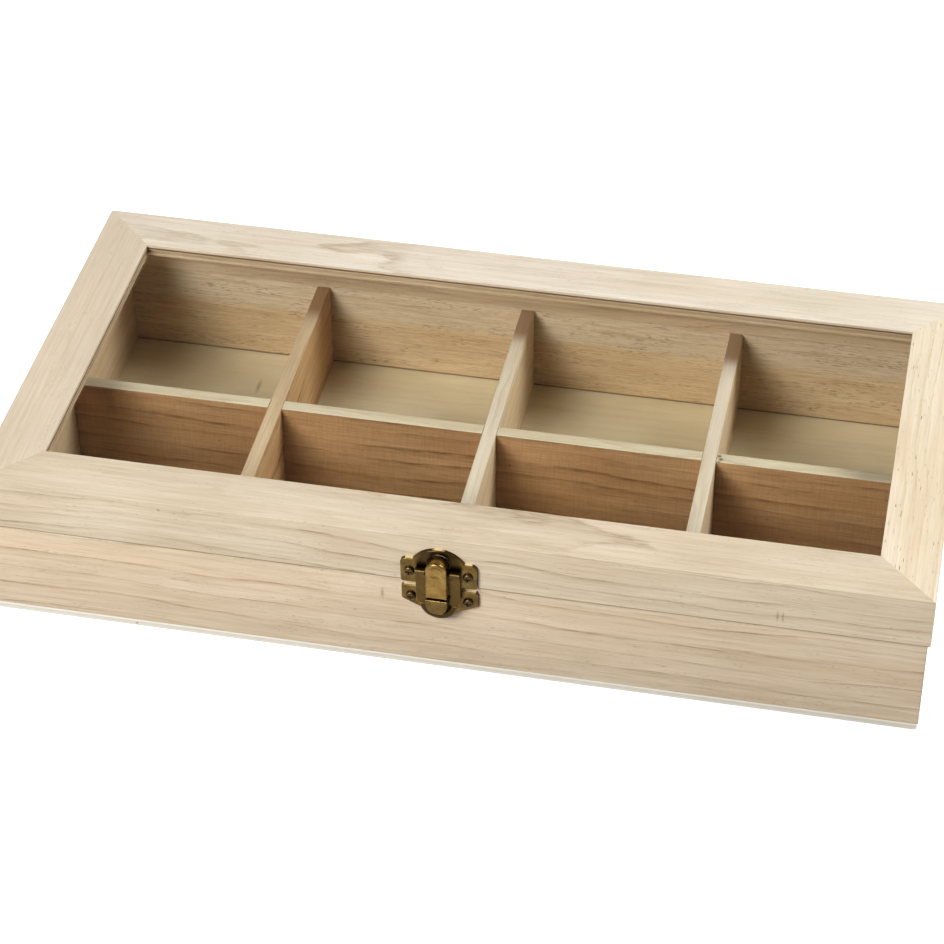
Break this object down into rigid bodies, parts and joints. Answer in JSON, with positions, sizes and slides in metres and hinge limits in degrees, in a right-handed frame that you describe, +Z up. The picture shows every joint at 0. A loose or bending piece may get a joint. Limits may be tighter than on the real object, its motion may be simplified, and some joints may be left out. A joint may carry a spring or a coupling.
{
  "type": "stamp box",
  "caption": "Shallow pale wooden box with divided compartments, a hinged frame lid with a glass pane and a small brass spring latch at the front.",
  "frame": {"origin": "on the underside of the bottom panel, below the middle of the lid's outer rectangle", "axes": "+X along the box's length to the right as seen from the front, -Y towards the front with the latch, +Z up"},
  "size_m": [0.33, 0.175, 0.06],
  "materials": {
    "base_wood": "sanded, untreated",
    "lid_wood": "sanded, untreated",
    "divider_wood": "sanded, untreated",
    "plywood": "sanded, untreated",
    "clear_glass": "clear",
    "antique_brass": "brushed, darkened",
    "dark_screws": "dark bronze"
  },
  "bodies": {
    "base": {"bottom_panel": "plywood", "front_wall": "base_wood", "back_wall": "base_wood", "left_wall": "base_wood", "right_wall": "base_wood", "long_divider": "divider_wood", "cross_divider_left": "divider_wood", "cross_divider_middle": "divider_wood", "cross_divider_right": "divider_wood", "hinge_left_base_leaf": "antique_brass", "hinge_left_base_screws": "dark_screws", "hinge_left_pin": "antique_brass", "hinge_right_base_leaf": "antique_brass", "hinge_right_base_screws": "dark_screws", "hinge_right_pin": "antique_brass", "latch_catch_plate": "antique_brass", "latch_catch_screws": "dark_screws"},
    "lid": {"lid_front_rail": "lid_wood", "lid_back_rail": "lid_wood", "lid_left_rail": "lid_wood", "lid_right_rail": "lid_wood", "glass_pane": "clear_glass", "hinge_left_lid_leaf": "antique_brass", "hinge_left_lid_screws": "dark_screws", "hinge_right_lid_leaf": "antique_brass", "hinge_right_lid_screws": "dark_screws", "latch_top_plate": "antique_brass", "latch_top_screws": "dark_screws", "latch_pin": "antique_brass"},
    "lever": {"latch_lever": "antique_brass"}
  },
  "joints": [
    {"name": "lid_hinge", "type": "hinge", "parent": "base", "child": "lid", "pos_m": [0, 0.0844, 0.03988], "axis": [-1, 0, 0], "range_deg": [0, 105]},
    {"name": "latch_lever", "type": "hinge", "parent": "lid", "child": "lever", "pos_m": [-0.0009, -0.08545, 0.0473], "axis": [-1, 0, 0], "range_deg": [0, 11], "stiffness_Nm_per_rad": 0.02, "springref_deg": -17.19}
  ]
}
